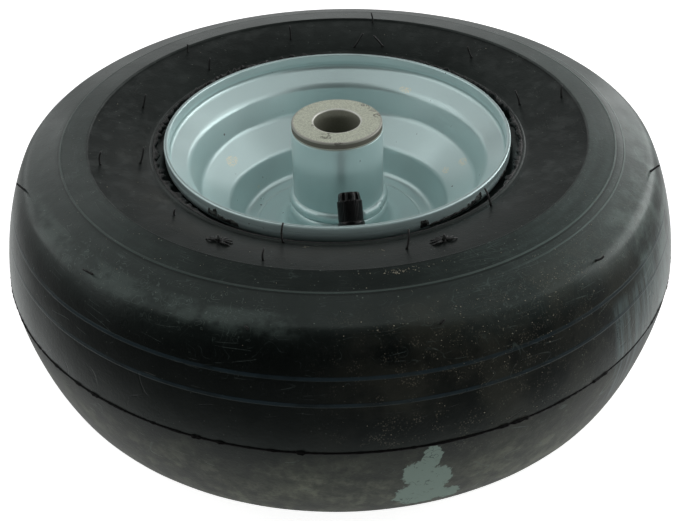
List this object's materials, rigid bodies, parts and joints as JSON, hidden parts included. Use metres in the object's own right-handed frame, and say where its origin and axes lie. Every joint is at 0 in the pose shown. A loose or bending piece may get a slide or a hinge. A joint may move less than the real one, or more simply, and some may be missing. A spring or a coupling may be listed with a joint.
{
  "type": "small pneumatic wheel",
  "caption": "Small pneumatic wheel with a smooth treadless tyre on a pressed two-piece rim, a flanged-bushing hub and a capped inflation valve.",
  "frame": {"origin": "wheel centre, on the axle line midway between the two hub faces", "axes": "+Z along the axle towards the valve side; the valve lies towards -Y"},
  "size_m": [0.2794, 0.2794, 0.1016],
  "materials": {
    "tyre_rubber": "satin moulded rubber with dust and scuffs",
    "rim_paint": "satin pale grey paint",
    "sintered_metal": "matt sintered metal",
    "valve_rubber": "satin black rubber",
    "seal_rubber": "matt black rubber",
    "brass": "turned brass",
    "spring_steel": "drawn wire",
    "cap_plastic": "gloss black moulded plastic"
  },
  "bodies": {
    "wheel": {"tyre": "tyre_rubber", "rim_half_upper": "rim_paint", "rim_half_lower": "rim_paint", "rim_seam_weld": "rim_paint", "hub_tube": "rim_paint", "bushing_upper": "sintered_metal", "bushing_lower": "sintered_metal", "hub_weld_upper": "rim_paint", "hub_weld_lower": "rim_paint", "valve_rubber": "valve_rubber", "valve_stem": "brass", "core_plug": "brass", "core_barrel": "brass", "core_gasket": "seal_rubber", "core_spring": "spring_steel"},
    "cap": {"valve_cap": "cap_plastic"},
    "pin": {"core_pin": "brass", "core_cup": "brass", "core_seal": "seal_rubber"}
  },
  "joints": [
    {"name": "cap_lift", "type": "slide", "parent": "wheel", "child": "cap", "axis": [-0.0661, 0.6081, 0.7911], "range_m": [0, 0.014]},
    {"name": "pin_press", "type": "slide", "parent": "wheel", "child": "pin", "axis": [0.0661, -0.6081, -0.7911], "range_m": [0, 0.0014], "stiffness_N_per_m": 1200, "springref_m": -0.0012, "deforming": ["core_spring"]}
  ]
}
